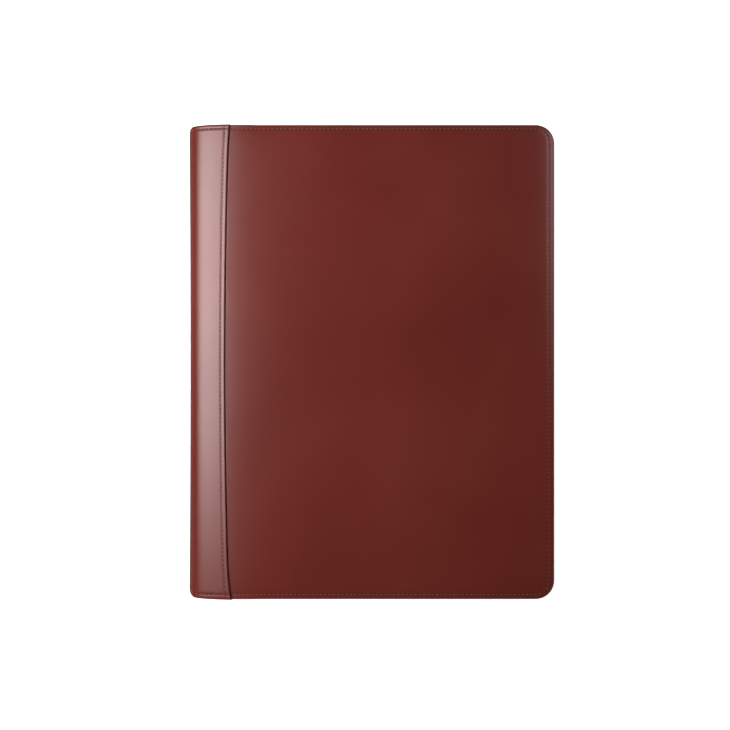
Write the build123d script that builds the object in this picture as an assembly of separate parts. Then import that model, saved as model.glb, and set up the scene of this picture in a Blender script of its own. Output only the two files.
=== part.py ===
from build123d import *
import os
from math import cos, radians, sin

# Leather writing portfolio, closed and lying on its back cover.
# Millimetres. +X runs from the spine to the opening edge, +Y to the top edge, +Z to the front cover.
# The origin is the centre of the back cover's outer face.

# ---- driving dimensions ----
WIDTH = 248.0  # closed, spine to opening edge
HEIGHT = 320.0  # top edge to bottom edge
THICKNESS = 23.0  # closed, outer face to outer face
CORNER_RADIUS = 12.5  # cover corners on the opening side
SPINE_RADIUS = 9.5  # tight curve at the middle of the spine
LIP = 26.0  # spine strip's lip, from the spine's outermost line

LEATHER = 1.2  # outer leather
BOARD = 1.3  # stiffener board
LINING = 0.8  # cover lining
SPINE_LINING = 0.6
POCKET_LEATHER = 1.0
CARD_LEATHER = 0.8
GLUE_GAP = 0.05  # left between stacked layers
OVERSHOOT = 1.0  # how far a cutting solid reaches past what it cuts
TURN_IN = 6.0  # margin where the outer leather is folded in round the board
BOARD_PLAY = 0.2  # room between the board and the folded-in leather
EDGE_ROUND = 0.6
LIP_DIP = 0.6  # how far the cover panel drops under the strip's lip
LIP_DIP_WIDTH = 8.0
TONGUE_INSET = 1.0  # the panel's sewn tongue is this much shorter at each end
TONGUE_OVERLAP = 1.0  # how far the tongue reaches into the panel it is one with

STITCH_TOP = 2.7  # stitch rows, from the top, bottom, opening and lip edges
STITCH_BOTTOM = 3.3
STITCH_SIDE = 3.7
STITCH_LIP = 2.9
THREAD_WIDTH = 0.6
THREAD_DEPTH = 0.5
GROOVE_GAP = 0.05  # room round a thread in its groove

STAVES = 5  # rigid strips that stand for the bending spine
SPINE_BENDS = STAVES + 1
BEND_ANGLE = 180.0 / SPINE_BENDS
STAVE_GAP_ANGLE = 0.1  # left at each end of a strip
HEM = 8.0  # folded-in end of the spine leather
HEM_OVERLAP = 0.1  # how far a folded-in end sinks into the leather it is one with
LINING_INSET = 1.5

PAD_WIDTH = 216.0
PAD_HEIGHT = 298.0
PAD_LEFT = 27.0
PAD_HEADER = 12.0  # bound strip at the pad's top
PAD_TOP_Z = 11.6  # top face of the sheets
SHEETS_FLOOR_Z = 5.6  # underside of the sheets that lie over the pocket
BACKING_Z = 3.65
BACKING = 0.75
TAPE = 0.15
TAPE_WIDTH = 14.0
STAPLE_WIRE = 0.5
STAPLE_CROWN = 12.0
STAPLE_COUNT = 3
STAPLE_PITCH = 80.0
STAPLE_INSET = 6.0
STAPLE_SHORT = 0.1  # legs end this far inside the backing

POCKET_MOUTH_Y = 20.0  # top edge of the pad pocket
POCKET_MARGIN = 1.5  # pocket panels, from the cover's edges
POCKET_SEAM = 3.0  # sewn width round a pocket
PAD_POCKET_LEFT = 21.0
PAD_POCKET_DEPTH = 1.1  # room for the pad's backing
PAD_PLAY = 0.8  # room at each side of the backing
PAD_BOTTOM_PLAY = 1.0  # room below it
DOCUMENT_MOUTH = 34.0  # document pocket's open edge
DOCUMENT_DEPTH = 1.6
CARD_WIDTH = 100.0
CARD_HEIGHT = 46.0
CARD_DEPTH = 0.6
CARD_LEFT = 92.0
CARD_BOTTOMS = {"upper": 58.0, "lower": 4.0}

PEN_RADIUS = 5.2  # pen loop's opening
PEN_LENGTH = 46.0
LOOP_LEATHER = 0.9
LOOP_FOOT = 0.7
LOOP_FOOT_TURN = 13.0  # half the foot's width, as a turn of the spine
LOOP_FOOT_PAST = 4.0  # foot's length past each end of the tube
LOOP_ROW_TURN = 11.0  # half the length of its stitch bars, as a turn of the spine
LOOP_ROW_HEIGHT = 0.3

# ---- worked out from the driving dimensions ----
HALF_HEIGHT = HEIGHT / 2
# Each quarter of the spine's curve is one wide arc of BEND_ANGLE and one tight arc that meets it smoothly.
FLARE_COS = cos(radians(BEND_ANGLE))
FLARE_RADIUS = (THICKNESS / 2 - SPINE_RADIUS * FLARE_COS) / (1 - FLARE_COS)
FLARE_START = SPINE_RADIUS + (FLARE_RADIUS - SPINE_RADIUS) * sin(radians(BEND_ANGLE))
INNER_FACE = LEATHER + 2 * GLUE_GAP + BOARD  # where the lining starts
LINED_FACE = INNER_FACE + LINING
SPINE_LINING_FACE = LEATHER + GLUE_GAP
SPINE_LINED_FACE = SPINE_LINING_FACE + SPINE_LINING
TONGUE_LEFT = LIP - TURN_IN
THREAD_START = LIP + LIP_DIP_WIDTH  # the cover's outer edge row starts where the panel is level
THREAD_TOP = 0.05  # outer threads lie this far under the leather's face
THREAD_FLOOR = THREAD_TOP + THREAD_DEPTH
PAD_RIGHT = PAD_LEFT + PAD_WIDTH
PAD_HALF = PAD_HEIGHT / 2
MIDDLE = Plane((0, 0, THICKNESS / 2))


def spine_point(turn, depth):
    """Point (s, z) of the closed spine's section, at a depth and a turn from 0 (back) to 180 (front)."""
    if turn <= BEND_ANGLE:
        centre, radius = (FLARE_START, FLARE_RADIUS), FLARE_RADIUS
    elif turn <= 180 - BEND_ANGLE:
        centre, radius = (SPINE_RADIUS, THICKNESS / 2), SPINE_RADIUS
    else:
        centre, radius = (FLARE_START, THICKNESS - FLARE_RADIUS), FLARE_RADIUS
    reach = radius - depth
    return centre[0] - reach * sin(radians(turn)), centre[1] - reach * cos(radians(turn))


def section_point(s, z):
    """Point of the XZ plane from s, the distance from the spine's outermost line, and z."""
    return (s - WIDTH / 2, 0, z)


def spine_edge(start, end, depth):
    """The section's curve between two turns at one depth, as arcs that meet where the radius changes."""
    stops = [start] + [t for t in (BEND_ANGLE, 180 - BEND_ANGLE) if start < t < end] + [end]
    arcs = []
    for a, b in zip(stops, stops[1:]):
        # the middle decides the radius; the stops at a change of radius lie on both arcs
        inside = (a + b) / 2
        arcs.append(
            ThreePointArc(
                section_point(*spine_point(a, depth)),
                section_point(*spine_point(inside, depth)),
                section_point(*spine_point(b, depth)),
            )
        )
    return arcs


def along_y(edges, y0, y1):
    """Solid with the closed XZ section made by edges, from y0 to y1."""
    face = make_face(edges)
    return Pos(0, y0, 0) * extrude(face, amount=y1 - y0, dir=(0, 1, 0))


def spine_band(start, end, outer, inner, y0, y1):
    """Curved strip of the spine between two turns and two depths."""
    outside = spine_edge(start, end, outer)
    inside = spine_edge(start, end, inner)
    ends = [Line(outside[0] @ 0, inside[0] @ 0), Line(outside[-1] @ 1, inside[-1] @ 1)]
    return along_y(outside + inside + ends, y0, y1)


def box(s0, s1, y0, y1, z0, z1):
    """Block between two s, two y and two z."""
    middle = ((s0 + s1) / 2 - WIDTH / 2, (y0 + y1) / 2, (z0 + z1) / 2)
    return Pos(*middle) * Box(s1 - s0, y1 - y0, z1 - z0)


def cover_plate(left, right_inset, top_inset, bottom_inset, z0, z1):
    """Plate with the cover's outline: square at the spine side, round corners at the opening side."""
    x0 = left - WIDTH / 2
    x1 = WIDTH / 2 - right_inset
    y0 = -HALF_HEIGHT + bottom_inset
    y1 = HALF_HEIGHT - top_inset
    r = max(CORNER_RADIUS - right_inset, 1.0)
    bend = r * (1 - cos(radians(45)))
    outline = [
        Line((x0, y0), (x1 - r, y0)),
        ThreePointArc((x1 - r, y0), (x1 - bend, y0 + bend), (x1, y0 + r)),
        Line((x1, y0 + r), (x1, y1 - r)),
        ThreePointArc((x1, y1 - r), (x1 - bend, y1 - bend), (x1 - r, y1)),
        Line((x1 - r, y1), (x0, y1)),
        Line((x0, y1), (x0, y0)),
    ]
    return Pos(0, 0, z0) * extrude(make_face(outline), amount=z1 - z0)


def even_plate(left, inset, z0, z1):
    """cover_plate with one inset on its three free sides."""
    return cover_plate(left, inset, inset, inset, z0, z1)


def edge_row(left, z0, z1, widen=0.0):
    """Ribbon along the stitch line of a cover's three free edges, open at the spine side."""
    half = THREAD_WIDTH / 2 + widen
    outer = [STITCH_SIDE - half, STITCH_TOP - half, STITCH_BOTTOM - half]
    inner = [STITCH_SIDE + half, STITCH_TOP + half, STITCH_BOTTOM + half]
    cutter = cover_plate(left - OVERSHOOT, *inner, z0 - OVERSHOOT, z1 + OVERSHOOT)
    return cover_plate(left, *outer, z0, z1) - cutter


def seam_row(z0, z1, widen=0.0):
    """Ribbon along the stitch line beside the spine strip's lip, between the edge rows."""
    half = THREAD_WIDTH / 2 + widen
    line = LIP - STITCH_LIP
    clear = THREAD_WIDTH - widen
    y0 = -HALF_HEIGHT + STITCH_BOTTOM + clear
    y1 = HALF_HEIGHT - STITCH_TOP - clear
    return box(line - half, line + half, y0, y1, z0, z1)


def end_rows(maker, widen=0.0):
    """The two short stitch rows at the spine's top and bottom ends; maker(y0, y1) makes one."""
    half = THREAD_WIDTH / 2 + widen
    top = HALF_HEIGHT - STITCH_TOP
    bottom = -HALF_HEIGHT + STITCH_BOTTOM
    return maker(top - half, top + half) + maker(bottom - half, bottom + half)


def flat_edges(solid, z):
    """Edges that lie wholly at one height."""
    return solid.edges().filter_by_position(Axis.Z, z - 1e-4, z + 1e-4)


# ---- one cover, modelled with its outer face at z = 0 ----


def cover_leather():
    """Outer panel, the edge folded in round the board, and the tongue sewn under the spine strip."""
    panel = even_plate(LIP + GLUE_GAP, 0, 0, INNER_FACE)
    board_room = even_plate(LIP + TURN_IN, TURN_IN, LEATHER, INNER_FACE + OVERSHOOT)
    panel = fillet(flat_edges(panel, 0), EDGE_ROUND)
    reach = HALF_HEIGHT - TONGUE_INSET
    tongue = box(TONGUE_LEFT, LIP + TONGUE_OVERLAP, -reach, reach, LEATHER + GLUE_GAP, INNER_FACE)
    under_lip = LIP - OVERSHOOT
    dip = along_y(
        Polyline(
            section_point(under_lip, LIP_DIP),
            section_point(LIP, LIP_DIP),
            section_point(LIP + LIP_DIP_WIDTH, 0),
            section_point(LIP + LIP_DIP_WIDTH, -OVERSHOOT),
            section_point(under_lip, -OVERSHOOT),
            close=True,
        ).edges(),
        -HALF_HEIGHT - OVERSHOOT,
        HALF_HEIGHT + OVERSHOOT,
    )
    groove = edge_row(THREAD_START, -OVERSHOOT, THREAD_FLOOR + GROOVE_GAP, GROOVE_GAP)
    return panel + tongue - board_room - dip - groove


def cover_board():
    """Stiffener held between the leather and the lining."""
    inset = TURN_IN + BOARD_PLAY
    return even_plate(LIP + inset, inset, LEATHER + GLUE_GAP, LEATHER + GLUE_GAP + BOARD)


def cover_lining():
    """Sheet glued and sewn over the board, with room for the inner rows of thread."""
    sheet = even_plate(TONGUE_LEFT, LINING_INSET, INNER_FACE, LINED_FACE)
    low = LINED_FACE - THREAD_DEPTH - GROOVE_GAP
    high = LINED_FACE + OVERSHOOT
    edge_groove = edge_row(TONGUE_LEFT - OVERSHOOT, low, high, GROOVE_GAP)
    return sheet - edge_groove - seam_row(low, high, GROOVE_GAP)


def spine_flange(outer, inner, right, y0, y1):
    """Strip from the first bend line, round the spine's flare and along the cover to s = right."""
    bend = BEND_ANGLE / 2 - STAVE_GAP_ANGLE
    curve_out = spine_edge(0, bend, outer)
    curve_in = spine_edge(0, bend, inner)
    outline = curve_out + curve_in
    outline += [Line(curve_out[-1] @ 1, curve_in[-1] @ 1)]
    outline += [Line(curve_out[0] @ 0, section_point(right, outer))]
    outline += [Line(section_point(right, outer), section_point(right, inner))]
    outline += [Line(section_point(right, inner), curve_in[0] @ 0)]
    return along_y(outline, y0, y1)


def flange_leather():
    """The spine strip where it lies on the cover, up to its lip, with its folded-in ends."""
    strip = spine_flange(0, LEATHER, LIP, -HALF_HEIGHT, HALF_HEIGHT)
    hem_right = TONGUE_LEFT - GLUE_GAP
    for y0 in (-HALF_HEIGHT, HALF_HEIGHT - HEM):
        strip += spine_flange(LEATHER - HEM_OVERLAP, SPINE_LINED_FACE, hem_right, y0, y0 + HEM)
    floor = THREAD_FLOOR + GROOVE_GAP
    strip -= seam_row(-OVERSHOOT, floor, GROOVE_GAP)
    right = LIP - THREAD_WIDTH
    return strip - end_rows(lambda y0, y1: spine_flange(-OVERSHOOT, floor, right, y0, y1), GROOVE_GAP)


def flange_lining():
    """The spine's lining where it reaches the cover's tongue."""
    reach = HALF_HEIGHT - HEM - GLUE_GAP
    return spine_flange(SPINE_LINING_FACE, SPINE_LINED_FACE, TONGUE_LEFT - GLUE_GAP, -reach, reach)


def edge_thread():
    """Stitch rows round a cover: outside on the panel and the strip's ends, inside on the lining."""
    right = LIP - THREAD_WIDTH - GROOVE_GAP
    panel_row = edge_row(THREAD_START + GROOVE_GAP, THREAD_TOP, THREAD_FLOOR)
    strip_rows = end_rows(lambda y0, y1: spine_flange(THREAD_TOP, THREAD_FLOOR, right, y0, y1))
    inner_row = edge_row(TONGUE_LEFT, LINED_FACE - THREAD_DEPTH, LINED_FACE)
    return panel_row + strip_rows + inner_row


def seam_thread():
    """Stitch rows that sew the strip's lip to the cover, outside and inside."""
    return seam_row(THREAD_TOP, THREAD_FLOOR) + seam_row(LINED_FACE - THREAD_DEPTH, LINED_FACE)


def outline_row(left, inset, half, z0, z1):
    """Closed ribbon that follows the cover's outline at an inset, square at its left side."""
    outer = even_plate(left - half, inset - half, z0, z1)
    return outer - even_plate(left + half, inset + half, z0 - OVERSHOOT, z1 + OVERSHOOT)


def below_mouth(z0, z1):
    """Everything on the pad pocket's side of its mouth."""
    return box(0, WIDTH, -HALF_HEIGHT, POCKET_MOUTH_Y, z0, z1)


def past_mouth(z0, z1):
    """Everything on the document pocket's side of its mouth."""
    return box(DOCUMENT_MOUTH, WIDTH, -HALF_HEIGHT, HALF_HEIGHT, z0, z1)


def above(face, widen):
    """Top of a row or staple that ends at a face, or of the wider solid that cuts its groove."""
    return face + OVERSHOOT if widen else face


def pocket_row(left, region, roof, widen=0.0):
    """Stitch row round a pocket's sewn sides, at the face that lies at roof."""
    half = THREAD_WIDTH / 2 + widen
    inset = POCKET_MARGIN + POCKET_SEAM / 2
    z0 = roof - THREAD_DEPTH - widen
    z1 = above(roof, widen)
    return outline_row(left + POCKET_SEAM / 2, inset, half, z0, z1) & region(z0, z1)


# ---- pockets, in the same cover frame ----

PAD_POCKET_ROOF = LINED_FACE + PAD_POCKET_DEPTH + POCKET_LEATHER
DOCUMENT_ROOF = LINED_FACE + DOCUMENT_DEPTH + POCKET_LEATHER
CARD_FLOOR = DOCUMENT_ROOF + GLUE_GAP
CARD_ROOF = CARD_FLOOR + CARD_DEPTH + CARD_LEATHER


def pad_pocket():
    """Leather panel sewn on three sides; the pad's backing slips in from its top edge."""
    panel = even_plate(PAD_POCKET_LEFT, POCKET_MARGIN, LINED_FACE, PAD_POCKET_ROOF)
    panel &= below_mouth(LINED_FACE, PAD_POCKET_ROOF)
    left, right = PAD_LEFT - PAD_PLAY, PAD_RIGHT + PAD_PLAY
    bottom = -PAD_HALF - PAD_BOTTOM_PLAY
    room = box(left, right, bottom, HALF_HEIGHT, LINED_FACE - OVERSHOOT, LINED_FACE + PAD_POCKET_DEPTH)
    return panel - room - pocket_row(PAD_POCKET_LEFT, below_mouth, PAD_POCKET_ROOF, GROOVE_GAP)


def pad_pocket_thread():
    return pocket_row(PAD_POCKET_LEFT, below_mouth, PAD_POCKET_ROOF)


def document_pocket():
    """Leather panel sewn at the top, bottom and opening edge; sheets slip in from the spine side."""
    panel = even_plate(DOCUMENT_MOUTH, POCKET_MARGIN, LINED_FACE, DOCUMENT_ROOF)
    inset = POCKET_MARGIN + POCKET_SEAM
    floor = LINED_FACE - OVERSHOOT
    room = even_plate(DOCUMENT_MOUTH - OVERSHOOT, inset, floor, LINED_FACE + DOCUMENT_DEPTH)
    return panel - room - pocket_row(0, past_mouth, DOCUMENT_ROOF, GROOVE_GAP)


def document_pocket_thread():
    return pocket_row(0, past_mouth, DOCUMENT_ROOF)


def card_pocket(bottom):
    """Small leather panel sewn on three sides; cards slip in from its top edge."""
    right = CARD_LEFT + CARD_WIDTH
    panel = box(CARD_LEFT, right, bottom, bottom + CARD_HEIGHT, CARD_FLOOR, CARD_ROOF)
    seam = POCKET_SEAM
    room = box(
        CARD_LEFT + seam,
        right - seam,
        bottom + seam,
        bottom + CARD_HEIGHT + OVERSHOOT,
        CARD_FLOOR - OVERSHOOT,
        CARD_FLOOR + CARD_DEPTH,
    )
    return panel - room - card_row(bottom, GROOVE_GAP)


def card_row(bottom, widen=0.0):
    """Stitch row down one side of a card pocket, along its bottom and up the other side."""
    half = THREAD_WIDTH / 2 + widen
    line = POCKET_SEAM / 2
    left = CARD_LEFT + line
    right = CARD_LEFT + CARD_WIDTH - line
    z0 = CARD_ROOF - THREAD_DEPTH - widen
    z1 = above(CARD_ROOF, widen)
    low, top = bottom + line, bottom + CARD_HEIGHT
    outer = box(left - half, right + half, low - half, top, z0, z1)
    inner_top = top + OVERSHOOT
    return outer - box(left + half, right - half, low + half, inner_top, z0 - OVERSHOOT, z1 + OVERSHOOT)


def card_pocket_thread():
    """Stitch rows of both card pockets."""
    return card_row(CARD_BOTTOMS["upper"]) + card_row(CARD_BOTTOMS["lower"])


# ---- spine strips ----


def stave_turns(k):
    """Turns where spine strip k starts and ends."""
    start = BEND_ANGLE * (k - 0.5)
    return start + STAVE_GAP_ANGLE, start + BEND_ANGLE - STAVE_GAP_ANGLE


def stave_leather(k):
    """Outer leather of one spine strip, folded in at both ends."""
    turns = stave_turns(k)
    strip = spine_band(*turns, 0, LEATHER, -HALF_HEIGHT, HALF_HEIGHT)
    for y0 in (-HALF_HEIGHT, HALF_HEIGHT - HEM):
        strip += spine_band(*turns, LEATHER - HEM_OVERLAP, SPINE_LINED_FACE, y0, y0 + HEM)
    floor = THREAD_FLOOR + GROOVE_GAP
    return strip - end_rows(lambda y0, y1: spine_band(*turns, -OVERSHOOT, floor, y0, y1), GROOVE_GAP)


def stave_lining(k):
    """Lining of one spine strip, between the folded-in ends."""
    reach = HALF_HEIGHT - HEM - GLUE_GAP
    return spine_band(*stave_turns(k), SPINE_LINING_FACE, SPINE_LINED_FACE, -reach, reach)


def stave_thread(k):
    """Stitches across the ends of one spine strip."""
    return end_rows(lambda y0, y1: spine_band(*stave_turns(k), THREAD_TOP, THREAD_FLOOR, y0, y1))


# ---- pen loop, on the middle strip of the spine ----

PEN_CENTRE = SPINE_LINED_FACE + PEN_RADIUS + LOOP_LEATHER


def pen_loop():
    """Leather tube that holds a pen, on a foot that lies against the spine's lining."""
    half = PEN_LENGTH / 2
    stand = Pos(PEN_CENTRE - WIDTH / 2, 0, THICKNESS / 2) * Rot(90, 0, 0)
    tube = stand * Cylinder(PEN_RADIUS + LOOP_LEATHER, PEN_LENGTH)
    reach = half + LOOP_FOOT_PAST
    turns = (90 - LOOP_FOOT_TURN, 90 + LOOP_FOOT_TURN)
    foot = spine_band(*turns, SPINE_LINED_FACE, SPINE_LINED_FACE + LOOP_FOOT, -reach, reach)
    return tube + foot - stand * Cylinder(PEN_RADIUS, 2 * reach)


def pen_loop_thread():
    """One bar of stitches across each end of the foot."""
    turns = (90 - LOOP_ROW_TURN, 90 + LOOP_ROW_TURN)
    z0 = SPINE_LINED_FACE + LOOP_FOOT
    line = PEN_LENGTH / 2 + LOOP_FOOT_PAST / 2
    half = THREAD_WIDTH / 2
    bars = [spine_band(*turns, z0, z0 + LOOP_ROW_HEIGHT, y - half, y + half) for y in (-line, line)]
    return bars[0] + bars[1]


# ---- writing pad ----

HEADER_Y = PAD_HALF - PAD_HEADER
BACKING_TOP = BACKING_Z + BACKING


def staples(widen=0.0):
    """U-shaped wires driven through the header from above, their crowns sunk level with the sheets."""
    wire = STAPLE_WIRE / 2 + widen
    y = PAD_HALF - STAPLE_INSET
    middle = PAD_LEFT + PAD_WIDTH / 2
    crown = STAPLE_CROWN / 2
    top = above(PAD_TOP_Z, widen)
    low = BACKING_Z - OVERSHOOT if widen else BACKING_Z + STAPLE_SHORT
    made = []
    for i in range(STAPLE_COUNT):
        s = middle + STAPLE_PITCH * (i - (STAPLE_COUNT - 1) / 2)
        reach = crown + widen
        bar = box(s - reach, s + reach, y - wire, y + wire, PAD_TOP_Z - STAPLE_WIRE - widen, top)
        for leg in (s - crown + STAPLE_WIRE / 2, s + crown - STAPLE_WIRE / 2):
            bar += box(leg - wire, leg + wire, y - wire, y + wire, low, top)
        made.append(bar)
    return made


def without_staples(solid):
    for hole in staples(GROOVE_GAP):
        solid -= hole
    return solid


def pad_backing():
    """Card that stiffens the pad and slips into the pad pocket."""
    return without_staples(box(PAD_LEFT, PAD_RIGHT, -PAD_HALF, PAD_HALF, BACKING_Z, BACKING_TOP))


def pad_sheets():
    """Sheets above the pocket, and the header where they are bound to the backing."""
    sheets = box(PAD_LEFT, PAD_RIGHT, -PAD_HALF, PAD_HALF, SHEETS_FLOOR_Z, PAD_TOP_Z)
    header = box(PAD_LEFT, PAD_RIGHT, HEADER_Y, PAD_HALF, BACKING_TOP, PAD_TOP_Z)
    return without_staples(sheets + header)


def pad_binding_tape():
    """Tape folded over the header, from the sheets' top face round the end to the backing's underside."""
    inner = PAD_HALF - TAPE_WIDTH
    tape = box(PAD_LEFT, PAD_RIGHT, inner, PAD_HALF + TAPE, BACKING_Z - TAPE, PAD_TOP_Z + TAPE)
    return tape - box(0, WIDTH, 0, PAD_HALF, BACKING_Z, PAD_TOP_Z)


def pad_staples():
    wires = staples()
    return wires[0] + wires[1] + wires[2]


def front(solid):
    """The same piece on the front cover."""
    return mirror(solid, about=MIDDLE)


PARTS = {
    "back_cover_leather": cover_leather(),
    "back_cover_board": cover_board(),
    "back_cover_lining": cover_lining(),
    "back_edge_thread": edge_thread(),
    "back_seam_thread": seam_thread(),
    "back_spine_flange": flange_leather(),
    "back_spine_flange_lining": flange_lining(),
    "pad_pocket": pad_pocket(),
    "pad_pocket_thread": pad_pocket_thread(),
    "front_cover_leather": front(cover_leather()),
    "front_cover_board": front(cover_board()),
    "front_cover_lining": front(cover_lining()),
    "front_edge_thread": front(edge_thread()),
    "front_seam_thread": front(seam_thread()),
    "front_spine_flange": front(flange_leather()),
    "front_spine_flange_lining": front(flange_lining()),
    "document_pocket": front(document_pocket()),
    "document_pocket_thread": front(document_pocket_thread()),
    "card_pocket_upper": front(card_pocket(CARD_BOTTOMS["upper"])),
    "card_pocket_lower": front(card_pocket(CARD_BOTTOMS["lower"])),
    "card_pocket_thread": front(card_pocket_thread()),
    "pen_loop": pen_loop(),
    "pen_loop_thread": pen_loop_thread(),
    "pad_backing": pad_backing(),
    "pad_sheets": pad_sheets(),
    "pad_binding_tape": pad_binding_tape(),
    "pad_staples": pad_staples(),
}
for number in range(1, STAVES + 1):
    PARTS[f"spine_leather_{number}"] = stave_leather(number)
    PARTS[f"spine_lining_{number}"] = stave_lining(number)
    PARTS[f"spine_thread_{number}"] = stave_thread(number)

os.makedirs("parts", exist_ok=True)
for node, shape in PARTS.items():
    export_step(Compound(children=shape.solids()), f"parts/{node}.step")
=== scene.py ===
import math

import bmesh
import bpy
import numpy as np
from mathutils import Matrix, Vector


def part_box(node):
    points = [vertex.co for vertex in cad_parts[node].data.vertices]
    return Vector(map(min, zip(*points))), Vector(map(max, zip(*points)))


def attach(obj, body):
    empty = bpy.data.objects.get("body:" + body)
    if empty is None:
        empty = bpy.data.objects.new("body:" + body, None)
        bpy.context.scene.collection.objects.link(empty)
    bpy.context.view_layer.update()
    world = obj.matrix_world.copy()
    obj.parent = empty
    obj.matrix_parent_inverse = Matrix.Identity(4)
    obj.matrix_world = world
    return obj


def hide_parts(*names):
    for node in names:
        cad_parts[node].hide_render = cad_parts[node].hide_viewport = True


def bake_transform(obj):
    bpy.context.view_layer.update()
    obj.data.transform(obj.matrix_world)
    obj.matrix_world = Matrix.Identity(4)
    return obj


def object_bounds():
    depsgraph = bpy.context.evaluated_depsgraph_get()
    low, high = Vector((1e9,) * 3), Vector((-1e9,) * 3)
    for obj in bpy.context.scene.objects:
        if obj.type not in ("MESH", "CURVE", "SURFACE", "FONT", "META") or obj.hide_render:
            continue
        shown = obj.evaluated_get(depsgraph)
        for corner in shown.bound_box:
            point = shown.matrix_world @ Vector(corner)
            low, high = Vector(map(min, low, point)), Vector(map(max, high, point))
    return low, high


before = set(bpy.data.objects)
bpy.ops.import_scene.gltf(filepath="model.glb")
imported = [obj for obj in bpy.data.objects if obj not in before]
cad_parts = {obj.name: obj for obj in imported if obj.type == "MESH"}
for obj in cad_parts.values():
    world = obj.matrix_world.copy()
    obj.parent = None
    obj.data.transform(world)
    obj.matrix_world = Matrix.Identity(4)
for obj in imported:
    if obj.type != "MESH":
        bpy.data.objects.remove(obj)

# Looks of the leather writing portfolio: its leather, cloth, stitches, pockets, pad, pen loop and studio.
# Shapes are made in millimetres as (s, y, depth). s is the distance from the spine's outermost line, and
# depth is measured from a cover's outer face inwards. The origin is in the middle of the back cover's
# outer face.

CAD_LOW, CAD_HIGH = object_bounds()
MM = 0.001
WIDTH, HEIGHT, THICK = [edge / MM for edge in CAD_HIGH - CAD_LOW]
HALF_W = WIDTH / 2
HALF_H = HEIGHT / 2
CHAIN = ["back_cover", "spine_1", "spine_2", "spine_3", "spine_4", "spine_5", "front_cover"]
BENDS = len(CHAIN) - 1
MIDDLE_BEND = BENDS / 2
BEND = 180 / BENDS  # turn of each bend when the case is closed, in degrees
FAR = 999.0  # stands for an edge that a shape doesn't have

SPINE_RADIUS = 9.5
LEATHER = 1.2  # thickness of the leather
CORNER = 12.5  # radius of the covers' corners
TURN_IN = 6.0  # width of the leather folded in round the board
SPINE_LINED = 1.85  # depth of the spine's lined face
SPINE_CLOTH = 0.6  # thickness of the spine's lining
HEM = 8.0  # width of the leather folded in at the spine's ends


def span(node):
    """Lowest and highest corner of a CAD node, in millimetres, with s in place of x."""
    low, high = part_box(node)
    shift = Vector((HALF_W, 0, 0))
    return low / MM + shift, high / MM + shift


TONGUE = span("front_cover_leather")[0].x
INNER_FACE, LINED = [corner.z for corner in span("back_cover_lining")]
DOCUMENT_MOUTH = span("document_pocket")[0].x
DOCUMENT_FACE = THICK - span("document_pocket")[0].z
POCKET_LEFT = span("pad_pocket")[0].x
PAD_MOUTH, PAD_FACE = span("pad_pocket")[1].yz


def smooth(t):
    t = np.clip(t, 0.0, 1.0)
    return t * t * (3 - 2 * t)


def ridge(distance, width):
    return np.exp(-((distance / width) ** 2))


# ---------------- meshes


WELD = 2e-7  # points nearer than this become one, in metres


def piece(name, points, faces, materials, rim=None, finish=None, sharp=35.0):
    """Mesh object from points in millimetres, smooth except at edges sharper than an angle.

    rim is each point's distance from the nearest cut edge, and finish is each face's place in materials."""
    mesh = bpy.data.meshes.new(name)
    mesh.from_pydata((np.asarray(points) * MM).tolist(), [], faces)
    if rim is not None:
        attribute = mesh.attributes.new("rim", "FLOAT", "POINT")
        attribute.data.foreach_set("value", np.asarray(rim, np.float32))
    if finish is not None:
        mesh.polygons.foreach_set("material_index", np.asarray(finish, np.int32))
    work = bmesh.new()
    work.from_mesh(mesh)
    bmesh.ops.remove_doubles(work, verts=work.verts, dist=WELD)
    bmesh.ops.recalc_face_normals(work, faces=work.faces)
    work.to_mesh(mesh)
    work.free()
    mesh.shade_smooth()
    mesh.set_sharp_from_angle(angle=math.radians(sharp))
    for material in materials:
        mesh.materials.append(material)
    obj = bpy.data.objects.new(name, mesh)
    bpy.context.scene.collection.objects.link(obj)
    return obj


def wear(obj, body, slot, *nodes):
    """The piece rides on a body and stands for CAD nodes, which are hidden; slot is not used."""
    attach(obj, body)
    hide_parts(*nodes)


def bent(obj, number, node):
    """The piece's place is baked into its points; below the last bend it stands for the spine strip after
    that bend.
    """
    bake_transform(obj)
    if number < BENDS:
        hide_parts(f"{node}_{number}")


def on_side(side, s, y, depth):
    """Points (x, y, z) of a cover from s, y and depth."""
    z = THICK - depth if side == "front" else depth
    return np.stack(np.broadcast_arrays(s - HALF_W, y, z), -1)


def grid_faces(index):
    corners = [index[:-1, :-1], index[1:, :-1], index[1:, 1:], index[:-1, 1:]]
    return np.stack(corners, -1).reshape(-1, 4).tolist()


def ring_faces(loop, following):
    corners = [loop, np.roll(loop, -1), np.roll(following, -1), following]
    return np.stack(corners, -1).reshape(-1, 4).tolist()


def tube_faces(rings):
    """Faces between rings of points that follow one another, and the faces that close both ends."""
    faces = []
    for low, high in zip(rings[:-1], rings[1:]):
        faces += ring_faces(low, high)
    return faces + [rings[0].tolist(), rings[-1].tolist()]


def border(index):
    """Indices round a grid's edge, in order."""
    return np.concatenate([index[:-1, 0], index[-1, :-1], index[:0:-1, -1], index[0, :0:-1]])


def slab(outer, inner):
    """Points and faces of the closed skin between two grids of the same shape."""
    rows, columns = outer.shape[:2]
    index = np.arange(rows * columns).reshape(rows, columns)
    below = index + rows * columns
    faces = grid_faces(index) + grid_faces(below) + ring_faces(border(index), border(below))
    return np.concatenate([outer.reshape(-1, 3), inner.reshape(-1, 3)]), faces


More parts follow.
